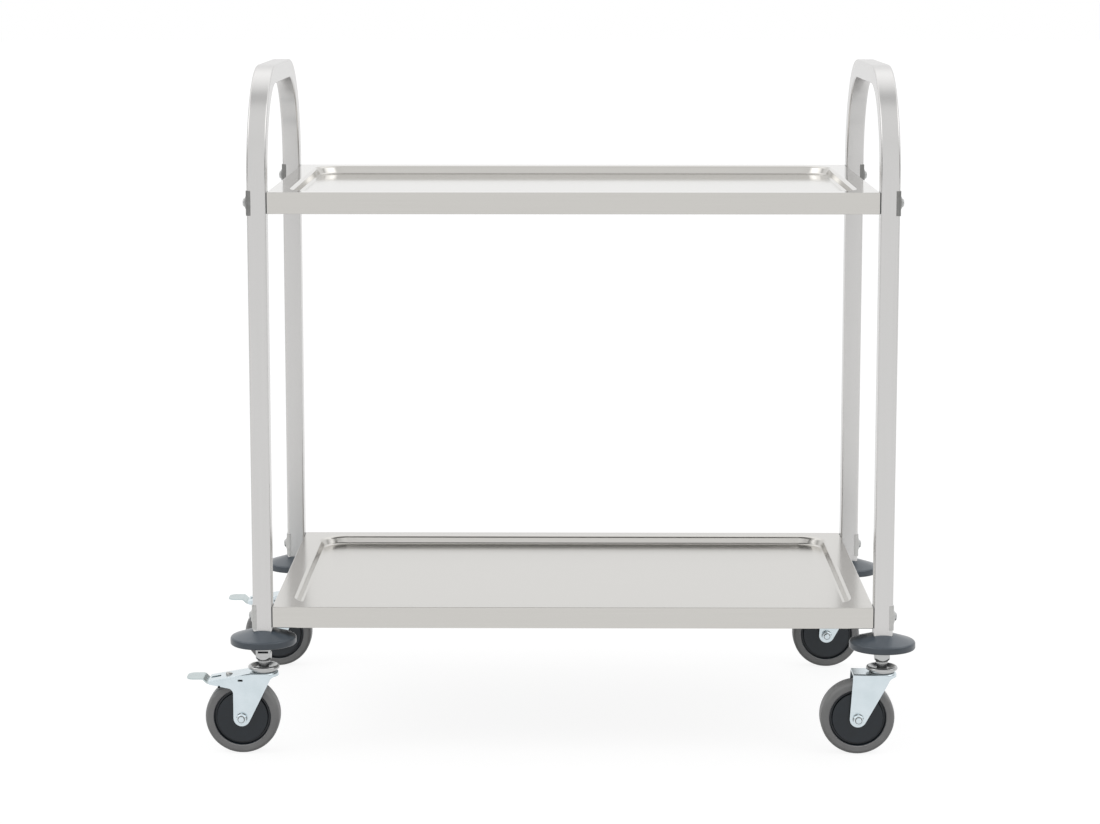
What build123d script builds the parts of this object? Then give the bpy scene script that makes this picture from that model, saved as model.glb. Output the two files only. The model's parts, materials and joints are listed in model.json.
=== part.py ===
from build123d import *
import os
from math import cos, radians, sqrt, tan

# Kitchen cart: two bent tube side frames, two pressed tray shelves bolted between them, and four swivel
# casters under corner bumpers. The two left casters carry a tread brake. Millimetres, +Z up, front towards
# -Y. The origin is on the floor, midway between the four legs.

# Side frames
overall_height = 900.0
leg_spacing_x = 815.0  # between the two frames' tube axes
leg_spacing_y = 463.0  # between the front and rear leg of a frame
tube_size = 25.0
tube_wall = 1.2
tube_corner = 2.2  # flat across the rolled corner
handle_bend = 137.5  # radius at the tube's axis
handle_straight = 8.0  # straight tube between the upper shelf and the bend

# Shelves
shelf_sheet = 1.0
shelf_inset = 0.5  # skirt behind the legs' outer faces
skirt_height = 28.0
skirt_bend = 1.2  # flat along the top edge's bend
return_lip = 10.0
rim_width = 27.0
tray_depth = 11.0
tray_corner = 35.0
tray_draft = 20.0  # degrees

# Shelf fasteners: bolts with a square shank, which the square holes keep from turning
shank_size = 6.0
shank_clearance = 0.2
bolt_head_diameter = 11.0
bolt_head_height = 2.6
bolt_head_taper = 30.0  # degrees
bolt_tail = 1.5  # past the nut
saddle_height = 32.0
saddle_sheet = 1.2
saddle_wrap = 5.0
saddle_clearance = 1.0  # from the lower saddles down to the highest bumper
saddle_dome = 21.0
saddle_dome_rise = 2.2
saddle_dome_taper = 60.0  # degrees
shelf_nut_flats = 10.0
shelf_nut_height = 5.0
small_round_sides = 12  # sides that stand for a small piece's round outline

# Corner bumpers, pushed onto the leg ends
bumper_diameter = 87.0
bumper_rim = 9.5
bumper_crown = 20.0
bumper_clearance = 0.15
bumper_drop_braked = 2.0  # from the leg's end down to the bumper's foot
bumper_drop_plain = 7.0

# Caster stem and swivel
plug_length = 36.0
plug_stand = 7.0  # plug showing below the leg's end
collar_size = 20.6
collar_corner = 3.0  # flat across the corner
collar_height = 18.0
collar_taper = 3.5
neck_diameter = 13.0
neck_length = 8.65
neck_ring_diameter = 16.0
neck_ring_height = 2.5
neck_ring_rise = 5.65  # from the dish up to the ring
dish_diameter = 41.6
dish_height = 5.0
dish_sides = 20
kingpin_diameter = 12.0
kingpin_clearance = 0.08
kingpin_head_flats = 18.0
kingpin_head_height = 2.4
swivel_gap = 0.35

# Forks
fork_plate = 2.5
fork_end_radius = 11.0
fork_nose = 14.0  # cheek's reach ahead of the swivel axis
fork_lip = 6.0
nose_sides = 8
plain_trail = 32.0
plain_back = 39.0  # cheek's reach behind the swivel axis at its top
braked_trail = 28.0
tail_reach = 71.5
tail_start = 15.0
tail_slope = 10.0  # degrees
tail_tip_depth = 4.5
tail_knee_reach = 56.0
tail_knee_drop = 17.7  # from the fork's top
tail_root_drop = 26.1  # the tail's lower edge, carried on into the cheek
tail_notch_radius = 7.0
tail_slot_length = 13.0
tail_slot_width = 8.4
tail_slot_margin = 2.0  # from the slot to the tail's tip

# Wheels: the tyre's bore is keyed on the hub by flats, and the axle's square ends are keyed in the cheeks
wheel_diameter = 98.0
wheel_headroom = 8.5  # from the tyre up to the fork's top plate
tyre_width = 30.0
tyre_clearance = 2.0  # beside the tyre, to each cheek
tyre_depth = 11.5  # from the tread in to the hub
tyre_sides = 40
hub_inset = 1.0  # hub's face behind the tyre's side
hub_sides = 24
boss_diameter = 18.0
boss_clearance = 0.4
axle_diameter = 8.0
axle_clearance = 0.06
axle_key = 5.6
axle_key_clearance = 0.1
axle_tail = 2.0  # past the nut
axle_flats = 13.0
axle_head = 5.3
axle_nut = 6.5

# Brake
lever_sheet = 1.5
lever_clearance = 0.6
lever_tail_gap = 0.4
lever_front = 4.0  # web's reach ahead of the pivot
pivot_reach = 29.5
pivot_clearance = 1.75  # from the tyre's top up to the pivot
ear_length = 5.6
ear_clearance = 0.5
pedal_gap = 1.5  # from the tail's tip back to the step up to the pedal
pedal_rise = 6.0  # length of the slanted step
pedal_length = 28.0  # from the step's foot to the pedal's tip
pedal_drop = 8.0  # from the fork's top
pedal_corner = 10.0
tooth_reach = 57.0
tooth_sheet = 3.0
tooth_width = 18.0
brake_gap = 3.8  # from the tooth down to the tyre
spring_sheet = 0.8
spring_width = 12.0
spring_length = 16.0
spring_reach = 46.0

# Sizes and places that follow from the driving dimensions, from the floor up
leg_x = leg_spacing_x / 2
leg_y = leg_spacing_y / 2
tube_bore = tube_size - 2 * tube_wall
shelf_length = leg_spacing_x - tube_size
shelf_depth = leg_spacing_y + tube_size - 2 * shelf_inset
bolt_drop = skirt_height / 2
bolt_hole = shank_size + 2 * shank_clearance

axle_height = wheel_diameter / 2
axle_hole = axle_key + 2 * axle_key_clearance
hub_diameter = wheel_diameter - 2 * tyre_depth
hub_width = tyre_width - 2 * hub_inset
fork_gap = tyre_width + 2 * tyre_clearance  # between the cheeks
fork_width = fork_gap + 2 * fork_plate
fork_underside = wheel_diameter + wheel_headroom
fork_top = fork_underside + fork_plate
tail_knee = (-tail_knee_reach, fork_top - tail_knee_drop)

lever_width = fork_gap - 2 * lever_clearance
pivot_height = wheel_diameter + pivot_clearance
pedal_start = tail_reach + pedal_gap
pedal_reach = pedal_start + pedal_length
pedal_height = fork_top - pedal_drop

dish_base = fork_top + swivel_gap
dish_crest = dish_base + dish_height
collar_base = dish_crest + neck_length
plug_base = collar_base + collar_height
leg_end = plug_base + plug_stand
bumper_height_braked = leg_end - bumper_drop_braked
bumper_height_plain = leg_end - bumper_drop_plain
bumper_top = max(bumper_height_braked, bumper_height_plain) + bumper_crown
lower_shelf_height = bumper_top + saddle_clearance + saddle_height / 2 + bolt_drop
upper_shelf_height = overall_height - tube_size / 2 - handle_bend - handle_straight

braked_legs = {"front_left": (-leg_x, -leg_y), "rear_left": (-leg_x, leg_y)}
plain_legs = {"front_right": (leg_x, -leg_y), "rear_right": (leg_x, leg_y)}
legs = braked_legs | plain_legs

# Bolt places on the legs' outer faces, each turned so that its Z points away from the cart
bolt_spots = []
for shelf_height in (upper_shelf_height, lower_shelf_height):
    for x, y in legs.values():
        side = 1 if x > 0 else -1
        face = x + side * tube_size / 2
        bolt_spots.append(Location((face, y, shelf_height - bolt_drop), (0, 90 * side, 0)))


bumper_spots = [(x, y, bumper_height_braked) for x, y in braked_legs.values()]
bumper_spots += [(x, y, bumper_height_plain) for x, y in plain_legs.values()]


def tail_line(reach):
    """Height of the braked fork's sloped top at a distance behind the swivel axis."""
    return fork_top - (reach - tail_start) * tan(radians(tail_slope))


def tail_underside(reach):
    return tail_line(reach) - fork_plate / cos(radians(tail_slope))


def side_frame(side):
    """One tube, bent into the front leg, the handle and the rear leg; side is -1 left, 1 right."""
    x = side * leg_x
    handle = overall_height - tube_size / 2
    with BuildPart() as frame:
        with BuildLine(Plane.YZ.offset(x)):
            corners = [(-leg_y, leg_end), (-leg_y, handle), (leg_y, handle), (leg_y, leg_end)]
            FilletPolyline(*corners, radius=handle_bend)
        with BuildSketch(Plane((x, -leg_y, leg_end))) as section:
            Rectangle(tube_size, tube_size)
            chamfer(section.vertices(), tube_corner)
            Rectangle(tube_bore, tube_bore, mode=Mode.SUBTRACT)
        sweep()
        with BuildSketch(Plane.YZ.offset(x)):
            for shelf_height in (upper_shelf_height, lower_shelf_height):
                with Locations((0, shelf_height - bolt_drop)):
                    with GridLocations(leg_spacing_y, 1, 2, 1):
                        Rectangle(bolt_hole, bolt_hole)
        extrude(amount=tube_size, both=True, mode=Mode.SUBTRACT)
    return frame.part


def shelf(top):
    """A tray pressed from one sheet, with folded skirts and a return lip below."""
    with BuildPart() as tray:
        with BuildSketch(Plane.XY.offset(top)):
            Rectangle(shelf_length, shelf_depth)
        extrude(amount=-skirt_height)
        chamfer(tray.faces().sort_by(Axis.Z)[-1].edges(), skirt_bend)
        with BuildSketch(Plane.XY.offset(top - shelf_sheet)):
            Rectangle(shelf_length - 2 * shelf_sheet, shelf_depth - 2 * shelf_sheet)
        extrude(amount=2 * shelf_sheet - skirt_height, mode=Mode.SUBTRACT)
        with BuildSketch(Plane.XY.offset(top - skirt_height)):
            Rectangle(shelf_length - 2 * return_lip, shelf_depth - 2 * return_lip)
        extrude(amount=shelf_sheet, mode=Mode.SUBTRACT)
        mouth = (shelf_length - 2 * rim_width, shelf_depth - 2 * rim_width)
        with BuildSketch(Plane.XY.offset(top)):
            RectangleRounded(*[side + 2 * shelf_sheet for side in mouth], tray_corner + shelf_sheet)
        extrude(amount=-tray_depth - shelf_sheet, taper=tray_draft)
        with BuildSketch(Plane.XY.offset(top)):
            RectangleRounded(*mouth, tray_corner)
        extrude(amount=-tray_depth, taper=tray_draft, mode=Mode.SUBTRACT)
        with BuildSketch(Plane.YZ):
            with Locations((0, top - bolt_drop)):
                with GridLocations(leg_spacing_y, 1, 2, 1):
                    Rectangle(bolt_hole, bolt_hole)
        extrude(amount=shelf_length, both=True, mode=Mode.SUBTRACT)
    return tray.part


def saddle_washer():
    """Sheet folded round the leg's outer corners, with a raised seat for the bolt head."""
    width = tube_size + 2 * saddle_sheet
    with BuildPart() as saddle:
        with BuildSketch(Plane.XY.offset(saddle_sheet)):
            Rectangle(saddle_height, width)
        extrude(amount=-saddle_sheet - saddle_wrap)
        with BuildSketch():
            Rectangle(saddle_height, tube_size)
        extrude(amount=-saddle_wrap, mode=Mode.SUBTRACT)
        with BuildSketch(Plane.XY.offset(saddle_sheet)):
            RegularPolygon(saddle_dome / 2, small_round_sides)
        extrude(amount=saddle_dome_rise, taper=saddle_dome_taper)
        with BuildSketch():
            Rectangle(bolt_hole, bolt_hole)
        extrude(amount=saddle_sheet + saddle_dome_rise, mode=Mode.SUBTRACT)
    return saddle.part


def shelf_bolt():
    """Pan head on the saddle washer, and a shank through the tube, the skirt and the nut."""
    seat = saddle_sheet + saddle_dome_rise
    with BuildPart() as bolt:
        with BuildSketch(Plane.XY.offset(seat)):
            RegularPolygon(bolt_head_diameter / 2, small_round_sides)
        extrude(amount=bolt_head_height, taper=bolt_head_taper)
        with BuildSketch(Plane.XY.offset(seat)):
            Rectangle(shank_size, shank_size)
        extrude(amount=-seat - tube_size - shelf_sheet - shelf_nut_height - bolt_tail)
    return bolt.part


def shelf_nut():
    with BuildPart() as nut:
        with BuildSketch(Plane.XY.offset(-tube_size - shelf_sheet)):
            RegularPolygon(shelf_nut_flats / 2, 6, major_radius=False)
            Rectangle(bolt_hole, bolt_hole, mode=Mode.SUBTRACT)
        extrude(amount=-shelf_nut_height)
    return nut.part


def bumper():
    """Soft disc with a raised crown and a square hole that grips the leg."""
    socket = tube_size + 2 * bumper_clearance
    with BuildPart() as disc:
        with BuildSketch(Plane.XZ):
            with BuildLine():
                rim = bumper_diameter / 2
                crown = tube_size / 2
                Polyline((0, 0), (rim, 0), (rim, bumper_rim), (crown, bumper_crown), (0, bumper_crown),
                         close=True)
            make_face()
        revolve(axis=Axis.Z)
        with BuildSketch():
            Rectangle(socket, socket)
        extrude(amount=bumper_crown, mode=Mode.SUBTRACT)
    return disc.part


def caster_stem():
    """Square plug for the leg, collar with a tapered foot, ringed neck, dish and kingpin, riveted into one."""
    head_top = fork_underside - swivel_gap
    with BuildPart() as stem:
        with BuildSketch(Plane.XY.offset(plug_base)):
            Rectangle(tube_bore, tube_bore)
        extrude(amount=plug_length)
        with BuildSketch(Plane.XY.offset(collar_base)) as collar:
            Rectangle(collar_size, collar_size)
            chamfer(collar.vertices(), collar_corner)
        extrude(amount=collar_height)
        chamfer(stem.faces().sort_by(Axis.Z)[0].edges(), collar_taper)
        with BuildSketch(Plane.XY.offset(dish_crest)):
            RegularPolygon(neck_diameter / 2, small_round_sides)
        extrude(amount=neck_length)
        with BuildSketch(Plane.XY.offset(dish_crest + neck_ring_rise)):
            RegularPolygon(neck_ring_diameter / 2, small_round_sides)
        extrude(amount=neck_ring_height)
        with BuildSketch(Plane.XY.offset(dish_base)):
            RegularPolygon(dish_diameter / 2, dish_sides)
        extrude(amount=dish_height)
        with BuildSketch(Plane.XY.offset(head_top)):
            Circle(kingpin_diameter / 2)
        extrude(amount=dish_base - head_top)
        with BuildSketch(Plane.XY.offset(head_top)):
            RegularPolygon(kingpin_head_flats / 2, 6, major_radius=False)
        extrude(amount=-kingpin_head_height)
    return stem.part


def plain_cheek():
    """Side view of the plain fork."""
    with BuildSketch(Plane.XZ) as cheek:
        with Locations((-plain_trail, axle_height)):
            Circle(fork_end_radius)
        with BuildLine():
            Line((-plain_back, fork_top), (fork_nose, fork_top))
        make_hull()
        with Locations((0, fork_top)):
            Rectangle(fork_width, fork_lip, align=(Align.MIN, Align.MAX))
    return cheek.sketch


def braked_cheek():
    """Side view of the braked fork, whose tail reaches back over the tyre."""
    back = braked_trail + fork_end_radius
    with BuildSketch(Plane.XZ) as cheek:
        with Locations((-braked_trail, axle_height)):
            Circle(fork_end_radius)
        with BuildLine():
            Polyline((-back, tail_line(back)), (-tail_start, fork_top), (fork_nose, fork_top))
        make_hull()
        with BuildLine():
            tip = tail_line(tail_reach)
            Polyline((-tail_start, fork_top), (-tail_reach, tip), (-tail_reach, tip - tail_tip_depth),
                     tail_knee, (-tail_start, fork_top - tail_root_drop), close=True)
        make_face()
        fillet(cheek.vertices().sort_by_distance((-back, tail_knee[1]))[0], tail_notch_radius)
        with Locations((0, fork_top)):
            Rectangle(fork_width, fork_lip, align=(Align.MIN, Align.MAX))
    return cheek.sketch


def channel(side_view, width):
    """Solid of a side view, with straight sides and a folded nose about the swivel axis."""
    with BuildPart() as block:
        extrude(side_view, amount=width / 2, both=True)
        with BuildSketch():
            RegularPolygon(width / 2, nose_sides, major_radius=False, rotation=180 / nose_sides)
            Rectangle(2 * tail_reach, width, align=(Align.MAX, Align.CENTER))
        extrude(amount=fork_top, mode=Mode.INTERSECT)
    return block.part


def fork(braked):
    """Sheet pressed into a channel: a top plate that turns on the kingpin and two cheeks for the axle."""
    with BuildSketch(Plane.XZ) as hollow:
        with BuildLine():
            far = 2 * tail_reach
            drop = tail_underside(far) if braked else fork_underside
            Polyline((-far, 0), (fork_width, 0), (fork_width, fork_underside), (-tail_start, fork_underside),
                     (-far, drop), close=True)
        make_face()
    trail = braked_trail if braked else plain_trail
    with BuildPart() as stamped:
        add(channel(braked_cheek() if braked else plain_cheek(), fork_width))
        add(channel(hollow.sketch, fork_gap), mode=Mode.SUBTRACT)
        with Locations((0, 0, fork_top)):
            Hole(kingpin_diameter / 2 + kingpin_clearance, fork_top - axle_height)
        with BuildSketch(Plane.XZ):
            with Locations((-trail, axle_height)):
                Rectangle(axle_hole, axle_hole)
        extrude(amount=fork_width, both=True, mode=Mode.SUBTRACT)
        if braked:
            with BuildSketch(Plane.XY.offset(fork_top)):
                with Locations((tail_slot_margin - tail_reach, 0)):
                    Rectangle(tail_slot_length, tail_slot_width, align=(Align.MIN, Align.CENTER))
            extrude(amount=tail_tip_depth - fork_top + tail_knee[1], mode=Mode.SUBTRACT)
            with BuildSketch(Plane.XZ):
                with Locations((-pivot_reach, pivot_height)):
                    Rectangle(ear_length + 2 * ear_clearance, lever_sheet + 2 * ear_clearance)
            extrude(amount=fork_width, both=True, mode=Mode.SUBTRACT)
    return stamped.part


def axle_bolt(trail):
    with BuildPart() as bolt:
        with BuildSketch(Plane.XZ.offset(-fork_width / 2)):
            with Locations((-trail, axle_height)):
                RegularPolygon(axle_flats / 2, 6, major_radius=False, rotation=30)
        extrude(amount=-axle_head)
        with BuildSketch(Plane.XZ.offset(-fork_width / 2)):
            with Locations((-trail, axle_height)):
                Rectangle(axle_key, axle_key)
        extrude(amount=fork_width + axle_nut + axle_tail)
        with BuildSketch(Plane.XZ):
            with Locations((-trail, axle_height)):
                Circle(axle_diameter / 2)
        extrude(amount=fork_gap / 2, both=True)
    return bolt.part


def axle_nut_piece(trail):
    with BuildPart() as nut:
        with BuildSketch(Plane.XZ.offset(fork_width / 2)):
            with Locations((-trail, axle_height)):
                RegularPolygon(axle_flats / 2, 6, major_radius=False, rotation=30)
                Rectangle(axle_hole, axle_hole, mode=Mode.SUBTRACT)
        extrude(amount=axle_nut)
    return nut.part


def hub():
    with BuildPart() as disc:
        with BuildSketch(Plane.XZ):
            RegularPolygon(hub_diameter / 2, hub_sides)
        extrude(amount=hub_width / 2, both=True)
        with BuildSketch(Plane.XZ):
            RegularPolygon(boss_diameter / 2, small_round_sides)
        extrude(amount=fork_gap / 2 - boss_clearance, both=True)
        with BuildSketch(Plane.XZ):
            Circle(axle_diameter / 2 + axle_clearance)
        extrude(amount=fork_gap, both=True, mode=Mode.SUBTRACT)
    return disc.part


def tyre():
    with BuildPart() as ring:
        with BuildSketch(Plane.XZ):
            RegularPolygon(wheel_diameter / 2, tyre_sides)
            RegularPolygon(hub_diameter / 2, hub_sides, mode=Mode.SUBTRACT)
        extrude(amount=tyre_width / 2, both=True)
    return ring.part


def brake_lever():
    """Web under the fork's tail, hung by two ears in the cheeks, with a tooth for the tyre and a pedal."""
    half = lever_sheet / 2
    tail_height = tail_underside(pedal_start) - lever_tail_gap - half
    slope = (pivot_height - tail_height) / (pedal_start - pivot_reach)
    front_height = pivot_height + lever_front * slope
    pedal_foot = pedal_start + pedal_rise
    tooth_foot = axle_height + sqrt(axle_height**2 - (tooth_reach - braked_trail) ** 2) + brake_gap
    tooth_root = pivot_height - (tooth_reach - pivot_reach) * slope
    with BuildPart() as lever:
        with BuildSketch(Plane.XZ):
            with BuildLine():
                Polyline((lever_front - pivot_reach, front_height + half), (-pedal_start, tail_height + half),
                         (-pedal_foot + half, pedal_height + half), (-pedal_reach, pedal_height + half),
                         (-pedal_reach, pedal_height - half), (-pedal_foot - half, pedal_height - half),
                         (-pedal_start - lever_sheet, tail_height - half),
                         (lever_front - pivot_reach, front_height - half), close=True)
            make_face()
        extrude(amount=lever_width / 2, both=True)
        fillet(lever.edges().filter_by(Axis.Z).group_by(Axis.X)[0], pedal_corner)
        with BuildSketch(Plane.XZ):
            with Locations((-pivot_reach, pivot_height)):
                Rectangle(ear_length, lever_sheet)
        extrude(amount=fork_width / 2, both=True)
        with BuildSketch(Plane.XZ):
            with Locations((-tooth_reach, tooth_root)):
                Rectangle(tooth_sheet, tooth_root - tooth_foot, align=(Align.CENTER, Align.MAX))
        extrude(amount=tooth_width / 2, both=True)
    return lever.part


def brake_spring():
    """Leaf under the tail's top plate."""
    with BuildPart() as leaf:
        with BuildSketch(Plane.XZ):
            with BuildLine():
                back = spring_reach + spring_length / 2
                front = spring_reach - spring_length / 2
                back_top = (-back, tail_underside(back))
                front_top = (-front, tail_underside(front))
                Polyline(back_top, front_top, (-front, front_top[1] - spring_sheet),
                         (-back, back_top[1] - spring_sheet), close=True)
            make_face()
        extrude(amount=spring_width / 2, both=True)
    return leaf.part


def save(part, name, spots):
    """Export one node: the piece at each of its places, as separate solids."""
    with BuildPart() as group:
        with Locations(*spots):
            add(part)
    group.part.label = name
    export_step(group.part, f"parts/{name}.step")


os.makedirs("parts", exist_ok=True)
here = [(0, 0, 0)]
save(side_frame(-1), "left_side_frame", here)
save(side_frame(1), "right_side_frame", here)
save(shelf(upper_shelf_height), "upper_shelf", here)
save(shelf(lower_shelf_height), "lower_shelf", here)
save(saddle_washer(), "saddle_washers", bolt_spots)
save(shelf_bolt(), "shelf_bolts", bolt_spots)
save(shelf_nut(), "shelf_nuts", bolt_spots)
save(bumper(), "corner_bumpers", bumper_spots)
save(caster_stem(), "caster_stems", legs.values())

for corner, (x, y) in legs.items():
    braked = corner in braked_legs
    trail = braked_trail if braked else plain_trail
    save(fork(braked), f"{corner}_fork", [(x, y)])
    save(axle_bolt(trail), f"{corner}_axle_bolt", [(x, y)])
    save(axle_nut_piece(trail), f"{corner}_axle_nut", [(x, y)])
    save(hub(), f"{corner}_hub", [(x - trail, y, axle_height)])
    save(tyre(), f"{corner}_tyre", [(x - trail, y, axle_height)])
    if braked:
        save(brake_lever(), f"{corner}_brake_lever", [(x, y)])
        save(brake_spring(), f"{corner}_brake_spring", [(x, y)])
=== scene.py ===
# %% [markdown]
# # A kitchen cart on swivel casters
#
# The cart is two bent square tubes, two pressed tray shelves bolted between them, and four casters
# under rubber bumpers. The imported CAD model gives every size and place. This lesson dresses it: it
# makes smooth sheet-metal, rubber and plastic pieces over the CAD solids, gives each one the finish
# of the real material, paints shade and reflection into a few of them, and sets up a plain white
# studio.

# %% Load the frame
import json
from math import asin, atan2, copysign, cos, pi, radians, tan

import bmesh
import bpy
from bmesh.types import BMEdge, BMFace, BMVert
from mathutils import Matrix, Vector

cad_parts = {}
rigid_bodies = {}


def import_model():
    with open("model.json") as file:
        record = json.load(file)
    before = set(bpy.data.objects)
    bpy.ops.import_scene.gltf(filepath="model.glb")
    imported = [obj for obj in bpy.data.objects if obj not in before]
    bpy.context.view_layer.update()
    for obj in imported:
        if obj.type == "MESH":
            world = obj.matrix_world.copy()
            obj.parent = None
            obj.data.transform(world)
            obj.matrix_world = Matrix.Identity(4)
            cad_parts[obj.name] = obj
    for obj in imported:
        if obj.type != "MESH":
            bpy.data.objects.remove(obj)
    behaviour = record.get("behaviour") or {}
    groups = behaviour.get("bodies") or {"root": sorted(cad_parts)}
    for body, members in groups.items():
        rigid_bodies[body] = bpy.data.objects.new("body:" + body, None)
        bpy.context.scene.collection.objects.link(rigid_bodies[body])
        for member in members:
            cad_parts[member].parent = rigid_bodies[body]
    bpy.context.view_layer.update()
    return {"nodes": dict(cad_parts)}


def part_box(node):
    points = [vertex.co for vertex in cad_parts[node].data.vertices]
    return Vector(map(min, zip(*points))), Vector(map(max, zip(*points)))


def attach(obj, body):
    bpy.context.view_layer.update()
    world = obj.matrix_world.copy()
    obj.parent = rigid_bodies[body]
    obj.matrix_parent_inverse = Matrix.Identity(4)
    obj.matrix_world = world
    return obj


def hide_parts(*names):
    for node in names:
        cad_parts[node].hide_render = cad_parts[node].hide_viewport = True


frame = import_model()
MM = 0.001
X_AXIS, Y_AXIS, Z_AXIS = Vector((1, 0, 0)), Vector((0, 1, 0)), Vector((0, 0, 1))

# %% [markdown]
# ## Places read from the frame
#
# A piece fits without any trial when its place comes from the CAD node it stands for. The tube's
# box gives the tube's width and the legs' axes. Further on, each tyre's box gives the middle and
# the radius of its wheel in the same way.

# %% Read the main sizes
tube_low, tube_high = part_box("right_side_frame")
TUBE = tube_high.x - tube_low.x
LEG_X = (tube_low.x + tube_high.x) / 2
LEG_Y = tube_high.y - TUBE / 2
LEG_END, HANDLE_TOP = tube_low.z, tube_high.z
BRAKED = {"front_left": (-LEG_X, -LEG_Y), "rear_left": (-LEG_X, LEG_Y)}
PLAIN = {"front_right": (LEG_X, -LEG_Y), "rear_right": (LEG_X, LEG_Y)}
CORNERS = BRAKED | PLAIN
SHELVES = ("upper_shelf", "lower_shelf")
print("legs at", round(LEG_X / MM, 1), round(LEG_Y / MM, 1), "mm, tube", round(TUBE / MM, 1), "mm")

# %% [markdown]
# ## One function for colours, one for nodes
#
# Colours are read off a screen as sRGB hex values, but shaders work in linear light, so one
# function turns one into the other. A second function adds a node, sets its values and links its
# inputs, so that each material reads as a short list.


# %% Colour and node helpers
def colour(code):
    """Linear RGBA of an sRGB hex colour."""
    channels = [int(code[i:i + 2], 16) / 255 for i in (1, 3, 5)]
    return [c / 12.92 if c <= 0.04045 else ((c + 0.055) / 1.055) ** 2.4 for c in channels] + [1.0]


def connect(tree, node, inputs):
    """Fill a node's inputs, each with a constant or from the socket that feeds it."""
    for name, value in inputs.items():
        if isinstance(value, bpy.types.NodeSocket):
            tree.links.new(value, node.inputs[name])
        else:
            node.inputs[name].default_value = value


def add_node(tree, kind, inputs, **settings):
    """A new shader node with its settings and its inputs."""
    node = tree.nodes.new("ShaderNode" + kind)
    for name, value in settings.items():
        setattr(node, name, value)
    connect(tree, node, inputs)
    return node


def new_material(name):
    """A node material with its tree and a shader that is already linked to the output."""
    material = bpy.data.materials.new(name)
    material.use_nodes = True
    return material, material.node_tree, material.node_tree.nodes["Principled BSDF"]


print("mid grey #808080 is", round(colour("#808080")[0], 3), "in linear light")

# %% [markdown]
# ## A pattern of a real size
#
# No surface is one flat colour. A soft noise stands for cloudy plating, grinding lines and mould
# grain alike, and only its size and stretch differ. It reads Object coordinates, which are metres
# here, so its scale is one over a real size.

# %% Mottled pattern
NOISE_BAND = (0.3, 0.7)  # the noise seldom leaves this band, so the two tints lie at its ends
NOISE_DETAIL = 3.0
BUMP_HEIGHT = 0.1 * MM


def mottled(tree, low, high, size, stretch=(1, 1, 1)):
    """A noise of a real size in metres, and the same as a tint between two hex colours."""
    place = add_node(tree, "TexCoord", {})
    mapping = add_node(tree, "Mapping", {"Vector": place.outputs["Object"], "Scale": stretch})
    noise = add_node(tree, "TexNoise", {"Vector": mapping.outputs[0], "Scale": 1 / size,
                                        "Detail": NOISE_DETAIL})
    ramp = add_node(tree, "ValToRGB", {"Fac": noise.outputs["Fac"]})
    for element, position, code in zip(ramp.color_ramp.elements, NOISE_BAND, (low, high)):
        element.position, element.color = position, colour(code)
    return noise.outputs["Fac"], ramp.outputs["Color"]


print("bump height", BUMP_HEIGHT / MM, "mm")

# %% [markdown]
# ## Satin stainless steel
#
# The tubes and trays are austenitic stainless steel with a fine ground finish. It is a metal, so
# its colour is the colour of its reflections: a light, slightly warm grey. The grinding leaves
# faint lines along the sheet, which spread a highlight across them. Real lines are a few hundredths
# of a millimetre apart, far below a pixel, so they are drawn about a millimetre apart and very
# weak. The function that makes it serves the other metals too: a pattern tints each one and varies
# its polish.

# %% Stainless steel
LINE_SPACING, LINE_LENGTH, LINE_RELIEF = 1.2 * MM, 160 * MM, 0.006


def metal(name, low, high, size, roughness, spread=0.0, stretch=(1, 1, 1), relief=0.0):
    """A metal whose tint, and polish if it has a spread, follow a pattern of a real size."""
    material, tree, shader = new_material(name)
    pattern, tint = mottled(tree, low, high, size, stretch)
    connect(tree, shader, {"Base Color": tint, "Metallic": 1.0, "Roughness": roughness})
    if spread:
        polish = add_node(tree, "MapRange", {"Value": pattern, "To Min": roughness - spread,
                                             "To Max": roughness + spread})
        connect(tree, shader, {"Roughness": polish.outputs[0]})
    if relief:
        bump = add_node(tree, "Bump", {"Height": pattern, "Strength": relief,
                                       "Distance": BUMP_HEIGHT})
        connect(tree, shader, {"Normal": bump.outputs[0]})
    return material


def satin_stainless(name, along, roughness, low, high):
    """Ground stainless steel with its lines along X, Y or Z."""
    stretch = [LINE_SPACING / LINE_LENGTH if axis == along else 1.0 for axis in "XYZ"]
    return metal(name, low, high, LINE_SPACING, roughness, 0.02, stretch, LINE_RELIEF)


# Drawn tube, ground along the leg: even grey faces with only blurred reflections.
tube_steel = satin_stainless("satin_stainless_tube", "Z", 0.26, "#CDCCCB", "#D0CFCE")
tray_steel = {
    # Fine polish: the legs and handles show in the tray's rim and floor.
    "upper_shelf": satin_stainless("satin_stainless_sheet", "X", 0.09, "#C8C6C2", "#CBC9C5"),
    # The same sheet with a duller polish: a soft sheen, and hardly a reflection with an edge.
    "lower_shelf": satin_stainless("duller_stainless_sheet", "X", 0.2, "#C8C6C2", "#CBC9C5"),
}
print("stainless finishes", len(bpy.data.materials))

# %% [markdown]
# ## Plated and stamped steel, rubber and plastic
#
# The caster's stampings are bright zinc, whiter and cooler than the stainless steel, with cloudy
# patches from the bath. Washers, stems and the undersides of the trays are other steels, which
# differ in colour and polish. The washers are a shaded and a lit copy of one steel, and the trays'
# undersides and a black steel are painted shade. The bumpers and tyres are moulded rubber and the
# hubs polypropylene.
# None of these is a metal, so they get their look from colour and from the grain of the mould. Real
# mould grain is a tenth of a millimetre or finer, so it is drawn about a millimetre wide to show.

# %% The other finishes
CLOUD, STAMPED, LATHE_RING = 16 * MM, 4 * MM, 1.5 * MM
PATCH = 14  # a moulding's broad tint patches, in widths of its grain


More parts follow.
